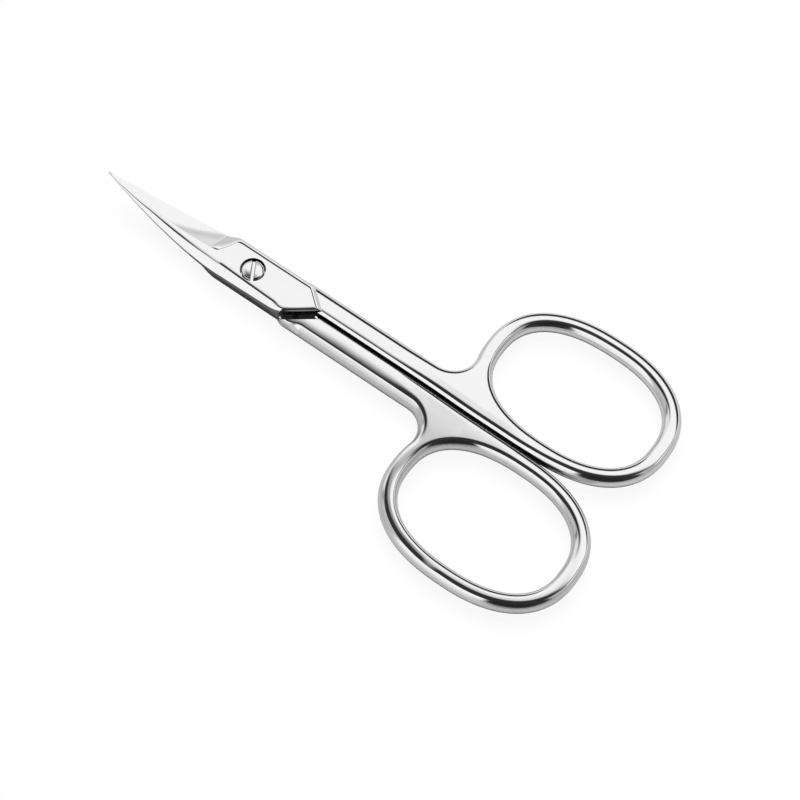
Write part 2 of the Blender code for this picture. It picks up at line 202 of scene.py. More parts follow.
# Lean of the faces, and the stretches of X where it holds: start, its softness, end, its softness
LEAN_FROM = 0.002
SHANK_LEAN = 0.010
SHANK_STRETCH = (0.0, 0.008, 0.026, 0.006)
WEB_LEAN = 0.012
WEB_STRETCH = (0.016, 0.010, 0.024, 0.006)

# Faces that are less polished, and faces with painted shade: walls between the halves, in the screw's recess
# and slot, and under the top half's back chamfer, darkened in colour
SATIN_START = 0.82
SATIN_BAND = 0.10
SATIN = {"top_half": 0.45, "bottom_half": 1.0, "pivot_screw": 0.0}
# Painted shade: its share on the back wall near the joint and in the slot, and the facing, depth and reach
# that pick the shaded walls
BACK_PAINTED_SHADE = {"top_half": 0.8, "bottom_half": 0.0, "pivot_screw": 0.0}
BACK_SHADE_START = -0.0095
SLOT_PAINTED_SHADE = 0.65
SHADED_FACING = 0.8
CHAMFER_FACING = 0.5
STEEP = 0.5
SHADED_GAP_DEPTH = 0.00008
SHADED_REACH = 0.0045

# Building: how far parts reach into each other, and numbers of points
OVERRUN = 0.001
PLATE_OVERLAP = 0.00065
MERGE = 1e-7
PLAN_MERGE = 1e-9
LEAST_STEP = 1e-6
LATTICE_STEP = 0.0004
SHARP_ANGLE = math.radians(32)
FILLET_SEARCH = 20001
FILLET_POINTS = 48
OUTER_POINTS = (60, 24)
INNER_POINTS = (90, 12)
RING_POINTS = 400
HOLE_POINTS = 360
SIDE_POINTS = 45
CHAMFER_SPANS = ((0.3, 0.45), (0.8, 1.0))
ARC_POINTS = 5
DIP_POINTS = 9
ALONG_POINTS = (140, 80, 24, 40, 50)
CHAMFER_POINTS = 16
FLAT_POINTS = 18
GROUND_POINTS = 26
WALL_POINTS = 5
CIRCLE_POINTS = 160
SCREW_POINTS = 192
DOME_POINTS = 20
RIM_POINTS = 14

# Lengths worked out from these
HALF_JOINT = JOINT_THICKNESS / 2
HALF_WIDTH = JOINT_WIDTH / 2
HALF_SHANK = HALF_JOINT - SHANK_STEP
HALF_RING = RING_THICKNESS / 2
INNER_WALL = SHANK_GAP / 2
CROWN_WALL = INNER_WALL + SHANK_WIDTH
BOW_CENTRE = np.array((BOW_CENTRE_REACH, INNER_WALL + RING_WIDTH + HOLE_WIDTH / 2))
RING_HALF_LENGTH = (HOLE_LENGTH + RING_WIDTH) / 2
RING_HALF_WIDTH = (HOLE_WIDTH + RING_WIDTH) / 2
BOW_HEEL = BOW_CENTRE_REACH - RING_HALF_LENGTH - RING_WIDTH / 2
BOW_REACH = BOW_CENTRE_REACH + RING_HALF_LENGTH + RING_WIDTH / 2
HALF_CONTACT = CONTACT_GAP / 2
CHEVRON_SLOPE = math.tan(CHEVRON_ANGLE)
LEDGE_SLOPE = math.tan(LEDGE_ANGLE)
LEDGE_DROP = SHANK_STEP + LEDGE_SUNK
LEDGE_INSET = LEDGE_WIDTH / math.cos(LEDGE_ANGLE) * LEDGE_DROP / SHANK_STEP
FACE_WIDTH = JOINT_WIDTH - JOINT_CHAMFER - CHEVRON_CHAMFER
EDGE_SUM = FACE_WIDTH + CHEVRON_START * CHEVRON_SLOPE + LEDGE_START * LEDGE_SLOPE
PLATE_END = EDGE_SUM / (CHEVRON_SLOPE + LEDGE_SLOPE)
HEAD_TOP = HALF_JOINT - HEAD_SUNK
HEAD_SEAT = HEAD_TOP - HEAD_DOME - HEAD_THICKNESS
RECESS_RADIUS = HEAD_DIAMETER / 2 + RECESS_CLEARANCE
BORE_RADIUS = SCREW_DIAMETER / 2 + RUNNING_CLEARANCE
THREAD_HOLE_RADIUS = SCREW_DIAMETER / 2 + THREAD_CLEARANCE


def smooth_step(value):
    """0 to 1 with level ends: three squares less two cubes."""
    value = np.clip(value, 0.0, 1.0)
    return value * value * (3.0 - 2.0 * value)


def soft_min(a, b, width):
    """The lower of two heights, rounded over a band where they differ by less than width."""
    share = np.clip(0.5 + 0.5 * (b - a) / width, 0.0, 1.0)
    return b + (a - b) * share - width * share * (1.0 - share)


def contact_rise(x, y):
    """Height of the surface where the halves meet: a parabola of the distance from the pivot."""
    share = np.clip((np.hypot(x, y) - RISE_START) / (TIP_REACH - RISE_START), 0.0, None)
    return BLADE_RISE * share**2


def blade_share(x):
    """How far along the blade: 0 where its taper starts, 1 at the tip."""
    return np.clip((-x - TAPER_START) / (TIP_REACH - TAPER_START), 0.0, 1.0)


def thickness(x):
    """Height of the top over the contact surface, falling evenly to the tip."""
    return HALF_JOINT + (TIP_THICKNESS - HALF_JOINT) * blade_share(x)


def half_width(x):
    """Half the joint's width, falling to the tip's with a power of the way along the blade."""
    return HALF_WIDTH + (TIP_HALF_WIDTH - HALF_WIDTH) * blade_share(x) ** BLADE_BELLY


def slenderness(x):
    """1 where the chamfers have their full width, less where the blade is narrow."""
    return np.minimum(1.0, half_width(x) / (HALF_WIDTH * CHAMFER_WIDTH_SHARE))


def plate_chamfer(x, width):
    """Width of the chamfer along the side towards its own bow."""
    return slenderness(x) * np.minimum(width, thickness(x) * CHAMFER_THICKNESS_SHARE)


def back_chamfer(x):
    """Width of the chamfer along the back, widest where the blade leaves the plate."""
    from_chevron = np.clip((CHEVRON_START - x) / (CHEVRON_START + TAPER_START), 0.0, 1.0)
    wide = JOINT_CHAMFER + (BACK_CHAMFER - JOINT_CHAMFER) * from_chevron
    return slenderness(x) * np.minimum(wide, thickness(x) * BACK_THICKNESS_SHARE)


def shank_side(x):
    """Outer side of the handle: in line with the plate, then flared smoothly to the shank's width."""
    return HALF_WIDTH + (CROWN_WALL - HALF_WIDTH) * smooth_step((x - FLARE_START) / FLARE_LENGTH)


def web_share(x):
    """0 on the shank, 1 on the bow, changing smoothly across the web."""
    return smooth_step((x - BOW_HEEL + WEB_FILLET) / WEB_TAPER_LENGTH)


def half_height(x):
    """Half the handle's thickness: the shank's, changing to the ring's across the web."""
    return HALF_SHANK + (HALF_RING - HALF_SHANK) * web_share(x)


# Meshes


def mesh_object(name, points, faces):
    """An object from points and a list of face arrays, with its doubles merged and its faces outwards."""
    mesh = bpy.data.meshes.new(name)
    mesh.from_pydata(points.tolist(), [], [face for block in faces for face in block.tolist()])
    bm = bmesh.new()
    bm.from_mesh(mesh)
    bmesh.ops.remove_doubles(bm, verts=bm.verts, dist=MERGE)
    bmesh.ops.dissolve_degenerate(bm, edges=bm.edges, dist=MERGE)
    bmesh.ops.recalc_face_normals(bm, faces=bm.faces)
    if bm.calc_volume(signed=True) < 0.0:
        bmesh.ops.reverse_faces(bm, faces=bm.faces)
    bm.to_mesh(mesh)
    bm.free()
    obj = bpy.data.objects.new(name, mesh)
    bpy.context.scene.collection.objects.link(obj)
    return obj


def grid_faces(rows, columns, closed_rows=False, closed_columns=False, start=0):
    """Four corners of each cell of a grid whose points are numbered row by row."""
    row = np.arange(rows if closed_rows else rows - 1)[:, None]
    column = np.arange(columns if closed_columns else columns - 1)[None, :]
    next_row = (row + 1) % rows * columns
    next_column = (column + 1) % columns
    row = row * columns
    cells = (row + column, row + next_column, next_row + next_column, next_row + column)
    return np.stack([cell + 0 * row + 0 * column for cell in cells], axis=-1).reshape(-1, 4) + start


def combine(obj, other, operation):
    """Joins or cuts with a helper, keeps the result as the object's mesh and removes the helper."""
    modifier = obj.modifiers.new(other.name, "BOOLEAN")
    modifier.operation = operation
    modifier.solver = "MANIFOLD"
    modifier.object = other
    bpy.context.view_layer.update()
    graph = bpy.context.evaluated_depsgraph_get()
    result = bpy.data.meshes.new_from_object(obj.evaluated_get(graph))
    obj.modifiers.clear()
    old = obj.data
    obj.data = result
    bpy.data.meshes.remove(old)
    bpy.data.objects.remove(other)


def cylinder(name, radius, bottom, top, count=CIRCLE_POINTS):
    """A round cutter about Z: a circle's points at two heights, with flat ends."""
    angle = 2 * math.pi * np.arange(count) / count
    ring = np.stack((radius * np.cos(angle), radius * np.sin(angle)), axis=1)
    points = np.concatenate([np.column_stack((ring, np.full(count, z))) for z in (bottom, top)])
    ends = [np.arange(count)[None, ::-1], np.arange(count, 2 * count)[None, :]]
    return mesh_object(name, points, [grid_faces(2, count, closed_columns=True)] + ends)


# Handle: shank, web and bow as one profile carried round their outline


def ring_middle(angle):
    """Squared ellipse: each axis takes a power of the cosine or sine; the normal is its gradient."""
    power = 2.0 / BOW_SQUARENESS
    half = np.array((RING_HALF_LENGTH, RING_HALF_WIDTH))
    turn = np.stack((np.cos(angle), np.sin(angle)), axis=-1)
    unit = np.sign(turn) * np.abs(turn) ** power
    normal = np.sign(unit) * np.abs(unit) ** (BOW_SQUARENESS - 1.0) / half
    return BOW_CENTRE + half * unit, normal / np.linalg.norm(normal, axis=-1, keepdims=True)


def web_fillet(count):
    """Arc tangent to the shank's side and the ring's outer side, and the ring's angle where it ends."""
    angle = np.linspace(math.pi, 1.5 * math.pi, FILLET_SEARCH)
    middle, normal = ring_middle(angle)
    centre = middle + normal * (RING_WIDTH / 2 + WEB_FILLET)
    best = np.argmin(np.abs(centre[:, 1] - CROWN_WALL - WEB_FILLET))
    end = math.atan2(-normal[best, 1], -normal[best, 0])
    turn = np.linspace(-math.pi / 2, end, count)
    outward = np.stack((np.cos(turn), np.sin(turn)), axis=-1)
    return centre[best] + outward * WEB_FILLET, -outward, angle[best]


def handle_outline():
    """Points and outward normals: outer side, fillet, round the bow, and back along the axis."""
    arc, arc_normal, ring_start = web_fillet(FILLET_POINTS)
    root = CHEVRON_START - OVERRUN
    flare_end = CROWN_START + CROWN_RUN_LENGTH
    x = np.concatenate((
        np.linspace(root, flare_end, OUTER_POINTS[0]),
        np.linspace(flare_end, arc[0, 0], OUTER_POINTS[1])[1:-1],
    ))
    outer = np.stack((x, shank_side(x)), axis=-1)
    outer_normal = np.tile((0.0, 1.0), (len(x), 1))
    middle, normal = ring_middle(np.linspace(ring_start, -math.pi / 2, RING_POINTS)[1:])
    ring = middle + normal * RING_WIDTH / 2
    x = np.concatenate((
        np.linspace(BOW_CENTRE_REACH, flare_end, INNER_POINTS[0])[1:],
        np.linspace(flare_end, root, INNER_POINTS[1])[1:],
    ))
    inner = np.stack((x, np.full_like(x, INNER_WALL)), axis=-1)
    inner_normal = np.tile((0.0, -1.0), (len(x), 1))
    points = np.concatenate((outer, arc, ring, inner))
    return points, np.concatenate((outer_normal, arc_normal, normal, inner_normal))


def crowned_side(high, crown, share, tilt):
    """Arc through the side's height, rolled over into the face by a smaller arc: depth and height."""
    radius = (high**2 + crown**2) / (2 * crown)
    small = np.minimum(SIDE_ROUNDING, high / 2)
    first = np.arcsin((high - small) / (radius - small))
    turn = share * (math.pi / 2 - tilt)
    on_small = np.abs(turn) > first
    small_reach = (radius - small) * np.cos(first) + small * np.cos(turn)
    small_level = np.sign(turn) * (high - small) + small * np.sin(turn)
    reach = np.where(on_small, small_reach, radius * np.cos(turn))
    return radius - reach, np.where(on_small, small_level, radius * np.sin(turn))


def chamfered_side(high, share):
    """Upright wall and 45 degree chamfer with two small arcs: depth and height."""
    radius = CHAMFER_ROUNDING
    tangent = radius * math.tan(math.pi / 8)
    turn = np.linspace(0.0, math.pi / 4, ARC_POINTS)
    first = np.stack((radius - radius * np.cos(turn), INNER_CHAMFER + tangent - radius * np.sin(turn)))
    turn = turn + math.pi / 4
    second = np.stack((INNER_CHAMFER + tangent - radius * np.cos(turn), radius - radius * np.sin(turn)))
    table = np.concatenate((first, second), axis=1)
    knots = np.concatenate([np.linspace(*span, ARC_POINTS) for span in CHAMFER_SPANS])
    part = np.abs(share)
    depth = np.interp(part, knots, table[0])
    under = np.interp(part, knots, table[1])
    under = np.where(part < knots[0], high + (under - high) * part / knots[0], under)
    return depth + 0 * high, np.sign(share) * (high - under)


def side_grid(points, normals, share, rise_sign):
    """The outline's points, each carried inwards and up or down along the side's profile onto the face."""
    x = points[:, :1]
    high = half_height(x)
    grown = smooth_step((x - CROWN_START) / CROWN_RUN_LENGTH)
    crown_under = SHANK_CROWN * (CROWN_LEAST + (1.0 - CROWN_LEAST) * grown)
    crown = np.where(share[None, :] > 0.0, SHANK_CROWN_SEEN, crown_under)
    on_bow = smooth_step((x - BOW_HEEL + WEB_TAPER_LENGTH) / WEB_TAPER_LENGTH)
    # The crown is narrower where the bow faces away from the camera
    far = smooth_step((1.0 + rise_sign * normals[:, 1:]) / 2)
    ring_crown = RING_CROWN_NEAR + (RING_CROWN_FAR - RING_CROWN_NEAR) * far
    crown = crown + (ring_crown - crown) * on_bow
    # The face dips towards its edge: width and depth of the dip on the upper side and on the contact side
    outward = smooth_step(normals[:, 1:])
    bow, axis = np.array(BOW_PILLOW), np.array(AXIS_PILLOW)
    wide, sag, wide_under, sag_under = (
        (axis[k] + (rest[k] - axis[k]) * outward) * (1.0 - on_bow) + bow[k] * on_bow
        for rest in ((PILLOW_WIDTH, PILLOW_SAG), UNDER_PILLOW) for k in (0, 1)
    )
    tilt = np.where(share < 0.0, 2 * sag_under / wide_under, 2 * sag / wide)
    depth, level = crowned_side(high, crown, share[None, :], tilt)
    flat_depth, flat_level = chamfered_side(high, share[None, :])
    faces_axis = smooth_step((-normals[:, 1:] - INNER_TURN) / (1.0 - INNER_TURN))
    runs_out = smooth_step((x - BOW_CENTRE_REACH + WEB_FILLET) / WEB_TAPER_LENGTH)
    along_axis = faces_axis * (1.0 - runs_out) * (points[:, 1:] < RING_WIDTH)
    depth = depth + (flat_depth - depth) * along_axis
    level = level + (flat_level - level) * along_axis
    part = np.linspace(0.0, 1.0, DIP_POINTS)[None, 1:]
    dip = (1.0 - part) ** 2
    under, over = depth[:, :1] + wide_under * part[:, ::-1], depth[:, -1:] + wide * part
    depth = np.concatenate((under, depth, over), axis=1)
    level = level * np.where(share < 0.0, (high - sag_under) / -level[:, :1], (high - sag) / level[:, -1:])
    level = np.concatenate(((sag_under * dip - high)[:, ::-1], level, high - sag * dip), axis=1)
    plan = points[:, None, :] - normals[:, None, :] * depth[:, :, None]
    # Heights follow the plan position, so that the sides meet the tapered face
    level = level * half_height(plan[:, :, 0]) / high
    return np.concatenate((plan, level[:, :, None]), axis=-1)


def inside_loop(points, loop):
    """Even-odd test of plan points against a closed loop."""
    x, y = points[:, 0][:, None], points[:, 1][:, None]
    ax, ay = loop[:, 0][None, :], loop[:, 1][None, :]
    bx, by = np.roll(ax, -1, axis=1), np.roll(ay, -1, axis=1)
    spans = (ay > y) != (by > y)
    with np.errstate(divide="ignore", invalid="ignore"):
        crossing = ax + (y - ay) * (bx - ax) / (by - ay)
    return (spans & (x < crossing)).sum(axis=1) % 2 == 1


def pillow(distance):
    """Depth that polishing takes off a flat face near its edges: a parabola of the distance from the edge."""
    return PILLOW_SAG * np.clip(1.0 - distance / PILLOW_WIDTH, 0.0, 1.0) ** 2


def flat_face(outer, hole):
    """Triangles between two loops, with points inside where the web tapers, so that it bends smoothly."""
    x = np.arange(BOW_HEEL - WEB_FILLET, BOW_HEEL - WEB_FILLET + WEB_TAPER_LENGTH, LATTICE_STEP)
    y = np.arange(INNER_WALL, BOW_CENTRE[1] + RING_HALF_WIDTH, LATTICE_STEP)
    lattice = np.stack(np.meshgrid(x, y, indexing="ij"), axis=-1).reshape(-1, 2)
    lattice = lattice[inside_loop(lattice, outer) & ~inside_loop(lattice, hole)]
    loops = np.concatenate((outer, hole))
    gap = lattice[:, None, :] - loops[None, :, :]
    lattice = lattice[np.abs(gap).max(axis=-1).min(axis=1) > LATTICE_STEP / 2]
    n, m = len(outer), len(hole)
    edges = [(i, (i + 1) % n) for i in range(n)] + [(n + i, n + (i + 1) % m) for i in range(m)]
    plan = [Vector(point) for point in np.concatenate((loops, lattice)).tolist()]
    found, _, faces, _, _, _ = delaunay_2d_cdt(plan, edges, [], 0, PLAN_MERGE)
    found = np.array([tuple(point) for point in found])
    faces = np.array(faces)
    middle = found[faces].mean(axis=1)
    faces = faces[inside_loop(middle, outer) & ~inside_loop(middle, hole)]
    return np.column_stack((found, half_height(found[:, 0]))), faces


def handle_body(name, rise_sign):
    """Both sides and both flat faces of the shank and bow, as one closed mesh."""
    share = np.linspace(-1.0, 1.0, SIDE_POINTS)
    outer = side_grid(*handle_outline(), share, rise_sign)
    middle, normal = ring_middle(np.linspace(0.0, 2 * math.pi, HOLE_POINTS + 1)[:-1])
    hole = side_grid(middle - normal * RING_WIDTH / 2, -normal, share, rise_sign)
    points, faces = [], []
    count = 0
    for grid in (outer, hole):
        faces.append(grid_faces(grid.shape[0], grid.shape[1], closed_rows=True, start=count))
        points.append(grid.reshape(-1, 3))
        count += grid.shape[0] * grid.shape[1]
    for side, end in ((-1, 0), (1, -1)):
        face, triangles = flat_face(outer[:, end, :2], hole[:, end, :2])
        points.append(face * (1, 1, side))
        faces.append(triangles + count)
        count += len(face)
    return mesh_object(name, np.concatenate(points), faces)


# Blade and joint plate: sections carried along X


def plate_low(x):
    """The back edge: half the width, then the chevron's slant, with a rounded corner between them."""
    slant = (x - CHEVRON_START) * CHEVRON_SLOPE
    return -half_width(x) + (slant + np.hypot(slant, CHEVRON_CORNER)) / 2


def ledge_side(x):
    """Upper edge of the slope at the plate's end: a straight line across the plate."""
    return HALF_WIDTH - JOINT_CHAMFER - (x - LEDGE_START) * LEDGE_SLOPE


def plate_high(x):
    """The edge towards the own bow: half the width, cut off by the foot of that slope."""
    return np.minimum(half_width(x), ledge_side(x) + LEDGE_INSET)


def ground_start(x):
    """Line along the blade where the flat ends and the ground face starts."""
    slender = np.minimum(1.0, half_width(x) / HALF_WIDTH)
    return -half_width(x) + back_chamfer(x) + FLAT_WIDTH * slender**2


def ground_height(x, y):
    """Hollow-ground face over the contact surface: a slope less a parabola, rising where it runs out."""
    edge = half_width(x)
    start = ground_start(x)
    share = (y - start) / (edge - start)
    slender = np.minimum(1.0, edge / HALF_WIDTH)
    arch = 4 * np.clip(share, 0.0, 1.0) * np.clip(1.0 - share, 0.0, 1.0)
    hollow = HOLLOW_DEPTH * HOLLOW_SEEN_SHARE * slender * arch
    run_out = HALF_JOINT * np.clip((x + HEEL_START) / HEEL_LENGTH, 0.0, None) ** HEEL_CURVE
    return EDGE_THICKNESS + (thickness(x) - EDGE_THICKNESS) * (1.0 - share) - hollow + run_out


def front_top(x, y, edge_width):
    """Height of the plate and blade over the contact surface: the lowest of its faces, with soft ridges."""
    top = thickness(x)
    chamfer = back_chamfer(x)
    on_chevron = smooth_step((x - CORNER_BLEND_START) / CORNER_BLEND_LENGTH)
    low_chamfer = chamfer + (CHEVRON_CHAMFER - chamfer) * on_chevron
    slender = np.minimum(1.0, FULL_DIP_GAIN * top / HALF_JOINT) * np.minimum(1.0, chamfer / JOINT_CHAMFER)
    high_chamfer = plate_chamfer(x, edge_width)
    ridge = RIDGE_ROUNDING * np.minimum(1.0, top / FULL_RIDGE_THICKNESS)
    chevron_ridge = ridge + (CHEVRON_RIDGE_SHARE * RIDGE_ROUNDING - ridge) * on_chevron
    low_edge = y - (plate_low(x) + low_chamfer)
    high_edge = half_width(x) - high_chamfer - y
    flat = top - slender * (LOW_PILLOW * pillow(low_edge) + pillow(high_edge))
    height = soft_min(flat, top + low_edge, chevron_ridge)
    height = soft_min(height, top + high_edge, ridge)
    ledge = top - (y - ledge_side(x)) * math.cos(LEDGE_ANGLE) * SHANK_STEP / LEDGE_WIDTH
    height = soft_min(height, ledge, LEDGE_ROUNDING)
    run_out = HEEL_ROUNDING * smooth_step(HEEL_BLEND_RATE * (x + HEEL_START) / HEEL_LENGTH)
    return soft_min(height, ground_height(x, y), GROUND_ROUNDING * slender + run_out)


def spread(start, end, count):
    """Numbers from start to end, closer together at both ends, along a new last axis."""
    share = (1.0 - np.cos(np.linspace(0.0, math.pi, count))) / 2
    return start[:, None] + (end - start)[:, None] * share[None, :]


def front_body(name, rise_sign):
    """Blade and plate as closed sections, with more of them where the shape changes fast."""
    corner = 3 * CHEVRON_CORNER
    stations = (
        -TIP_REACH, -HEEL_START, HEEL_LENGTH - HEEL_START,
        CHEVRON_START - corner, CHEVRON_START + corner, PLATE_END + PLATE_OVERLAP,
    )
    spans = zip(stations[:-1], stations[1:], ALONG_POINTS)
    x = np.concatenate([stations[:1]] + [np.linspace(start, end, count)[1:] for start, end, count in spans])
    low, high = plate_low(x), plate_high(x)
    edge_width = PLATE_CHAMFER_SEEN[rise_sign]
    low_top = np.minimum(low + back_chamfer(x), (low + high) / 2)
    high_top = np.minimum(high - plate_chamfer(x, edge_width), ledge_side(x))
    high_top = np.minimum(np.maximum(high_top, low_top + LEAST_STEP), high)
    start = np.clip(ground_start(x), low_top, high_top)
    across = np.concatenate((
        spread(low, low_top, CHAMFER_POINTS),
        spread(low_top, start, FLAT_POINTS)[:, 1:],
        spread(start, high_top, GROUND_POINTS)[:, 1:],
        spread(high_top, high, CHAMFER_POINTS)[:, 1:],
    ), axis=1)
    along = x[:, None]
    over = np.maximum(front_top(along, across, edge_width), HALF_CONTACT + LEAST_STEP)
    wall = np.linspace(0.0, 1.0, WALL_POINTS + 2)[None, 1:-1]
    low_over, high_over = over[:, :1], over[:, -1:]
    under = spread(high, low, CHAMFER_POINTS)
    low_wall, high_wall = (np.repeat(edge[:, None], WALL_POINTS, axis=1) for edge in (low, high))
    y = np.concatenate((across, high_wall, under, low_wall), axis=1)
    z = np.concatenate((
        over,
        high_over + (HALF_CONTACT - high_over) * wall,
        np.full_like(under, HALF_CONTACT),
        HALF_CONTACT + (low_over - HALF_CONTACT) * wall,
    ), axis=1)
    grid = np.stack((along + 0 * y, y, z + rise_sign * contact_rise(along, y)), axis=-1)
    rows, columns = grid.shape[:2]
    ends = [np.arange(columns)[None, :], np.arange(columns)[None, ::-1] + (rows - 1) * columns]
    return mesh_object(name, grid.reshape(-1, 3), [grid_faces(rows, columns, closed_columns=True)] + ends)


def shoulder_cutter(name):
    """A long prism that clears the other half's chevron, with a sloped face behind it."""
    across = np.array((math.sin(CHEVRON_ANGLE), math.cos(CHEVRON_ANGLE), 0.0))
    along = np.array((math.cos(CHEVRON_ANGLE), -math.sin(CHEVRON_ANGLE), 0.0))
    corner = np.array((CHEVRON_START, HALF_WIDTH, 0.0))
    floor = -HALF_SHANK - OVERRUN
    profile = np.array((
        (SHOULDER_CLEARANCE - SHOULDER_RISE * SHOULDER_SLOPE, SHOULDER_RISE),
        (SHOULDER_CLEARANCE - floor * SHOULDER_SLOPE, floor),
        (-BOW_REACH, floor),
        (-BOW_REACH, SHOULDER_RISE),
    ))
    section = profile[:, :1] * across + profile[:, 1:] * np.array((0.0, 0.0, 1.0))
    points = np.concatenate([corner + reach * along + section for reach in (-BOW_REACH, BOW_REACH)])
    ends = [np.arange(4)[None, :], np.arange(7, 3, -1)[None, :]]
    return mesh_object(name, points, [grid_faces(2, 4, closed_columns=True)] + ends)


def mark_surfaces(obj, node):
    """Stores on each face, from its place and normal, how far it is a satin side, and how far it is a wall in
    shade whose shade is painted into its colour: in the gap, under the other half, in the recess and slot,
    and under the back chamfer.
    """
    faces = obj.data.polygons
    centre, normal = np.empty(3 * len(faces)), np.empty(3 * len(faces))
    faces.foreach_get("center", centre)
    faces.foreach_get("normal", normal)
    x, y, z = centre.reshape(-1, 3).T
    normal = normal.reshape(-1, 3)
    side = smooth_step((SATIN_START - np.abs(normal[:, 2])) / SATIN_BAND) * (x > PLATE_END)
    side = side * ((y > RING_WIDTH / 2) | (normal[:, 1] > 0.0) | (x > BOW_CENTRE_REACH))
    on_handle = x > CROWN_START
    in_gap = on_handle & (y < INNER_WALL + SHADED_GAP_DEPTH) & (normal[:, 1] < -SHADED_FACING)
    in_gap |= on_handle & (y < INNER_WALL + INNER_CHAMFER) & (normal[:, 1] < -CHAMFER_FACING) & (z < 0.0)
    from_pivot = np.hypot(x, y)
    seat = (from_pivot > BORE_RADIUS) & (from_pivot < RECESS_RADIUS + MERGE) & (z < HEAD_TOP)
    seat &= ((np.abs(normal[:, 2]) < STEEP) | (z > 0.0)) & (node != "pivot_screw")
    trimmed = (x < CHEVRON_START) & (y > 0.0) & (normal[:, 1] > SHADED_FACING)
    across = normal[:, 0] * math.sin(CHEVRON_ANGLE) + normal[:, 1] * math.cos(CHEVRON_ANGLE)
    at_chevron = (np.abs(x - CHEVRON_START) < SHADED_REACH) & (across < -SHADED_FACING)
    # Walls in the gap, under the other half, at the chevron and in the screw's recess lie in shade, which is
    # painted in
    hidden = in_gap | trimmed | at_chevron | seat
    back = (x > BACK_SHADE_START) & (x < CHEVRON_START) & (normal[:, 1] < -SHADED_FACING)
    slot = (from_pivot < (HEAD_DIAMETER - HEAD_RIM_WIDTH) / 2) & (z > HEAD_TOP - SLOT_DEPTH)
    slot &= np.abs(normal[:, 2]) < SHADED_FACING
    dull = np.maximum(np.maximum(hidden * 1.0, BACK_PAINTED_SHADE[node] * back), SLOT_PAINTED_SHADE * slot)
    for name, values in (("side", SATIN[node] * side * (1.0 - dull)), ("dull", dull)):
        obj.data.attributes.new(name, "FLOAT", "FACE").data.foreach_set("value", values)


def finish_with(obj, material):
    """Gives the whole mesh one material, smooth shading and sharp edges where faces meet at an angle."""
    obj.data.materials.clear()
    obj.data.materials.append(material)
    obj.data.shade_smooth()
    obj.data.set_sharp_from_angle(angle=SHARP_ANGLE)


def place(obj, half_turn):
    """Moves the mesh from its half's own frame to the part's."""
    turn = Matrix.Rotation(math.pi if half_turn else 0.0, 4, "X")
    obj.data.transform(Matrix.Translation(PIVOT.tolist()) @ turn)


def scissor_half(name, rise_sign, holes):
    """Handle less the shoulder's clearance, joined to blade and plate, less the holes about the pivot."""
    half = handle_body(name, rise_sign)
    combine(half, shoulder_cutter(name + "_shoulder"), "DIFFERENCE")
    combine(half, front_body(name + "_front", rise_sign), "UNION")
    for radius, bottom in holes:
        combine(half, cylinder(name + "_hole", radius, bottom, JOINT_THICKNESS), "DIFFERENCE")
    return half


def revolved(name, profile, count=SCREW_POINTS):
    """A profile of (radius, height) from axis to axis, carried round Z."""
    angle = 2 * math.pi * np.arange(count) / count
    radius, height = profile[:, 0], profile[:, 1]
    points = np.stack((
        np.cos(angle)[:, None] * radius,
        np.sin(angle)[:, None] * radius,
        np.tile(height, (count, 1)),
    ), axis=-1)
    return mesh_object(name, points.reshape(-1, 3), [grid_faces(count, len(profile), closed_rows=True)])


def screw_profile():
    """Shallow dome, rounded rim, head, stem and chamfered end."""
    head, stem = HEAD_DIAMETER / 2, SCREW_DIAMETER / 2
    end = -HALF_JOINT + SCREW_END_SUNK
    radius = np.linspace(0.0, head - HEAD_RIM_WIDTH, DOME_POINTS)
    dome = np.stack((radius, HEAD_TOP + HEAD_RAISED - HEAD_DOME_SEEN * (radius / head) ** 2), axis=1)
    turn = np.linspace(0.0, math.pi / 2, RIM_POINTS)[1:]
    rim = dome[-1] + np.stack((HEAD_RIM_WIDTH * np.sin(turn), HEAD_RIM_DROP * (np.cos(turn) - 1.0)), axis=1)
    rest = np.array((
        (head, HEAD_SEAT),
        (stem, HEAD_SEAT),
        (stem, end + SCREW_END_CHAMFER),
        (stem - SCREW_END_CHAMFER, end),
        (0.0, end),
    ))
    return np.concatenate((dome, rim, rest))


def slot_cutter(name):
    """A section of the slot, with its edges broken at the top, carried across the head."""
    half, top = SLOT_WIDTH / 2, HEAD_TOP + OVERRUN
    wide = half + SLOT_CHAMFER + OVERRUN
    edge = HEAD_TOP + HEAD_RAISED - SLOT_CHAMFER
    side = np.array(((half, HEAD_TOP - SLOT_DEPTH), (half, edge), (wide, edge + wide - half), (wide, top)))
    section = np.concatenate((side, (side * (-1, 1))[::-1]))
    count = len(section)
    reach = (HEAD_DIAMETER + OVERRUN) / 2
    across, high = section.T
    points = np.concatenate([np.column_stack((across, np.full(count, y), high)) for y in (-reach, reach)])
    cosine, sine = math.cos(SLOT_TURN), math.sin(SLOT_TURN)
    points[:, :2] = points[:, :2] @ np.array(((cosine, sine), (-sine, cosine)))
    ends = [np.arange(count)[None, ::-1], np.arange(count, 2 * count)[None, :]]
    return mesh_object(name, points, [grid_faces(2, count, closed_columns=True)] + ends)


# Materials


class Socket:
    """Wraps a node's output, so that shader maths reads as Python."""

    def __init__(self, tree, output):
        self.tree = tree
        self.output = output

    def maths(self, operation, *others):
        node = add_node(self.tree, "ShaderNodeMath", {"operation": operation}, self, *others)
        return Socket(self.tree, node.outputs[0])

    def __add__(self, other):
        return self.maths("ADD", other)

    def __mul__(self, other):
        return self.maths("MULTIPLY", other)

    def __sub__(self, other):
        return self.maths("SUBTRACT", other)

    def __rsub__(self, other):
        return (self * -1.0) + other

    def clamp(self):
        return Socket(self.tree, add_node(self.tree, "ShaderNodeClamp", None, self).outputs[0])

    __radd__ = __add__
    __rmul__ = __mul__


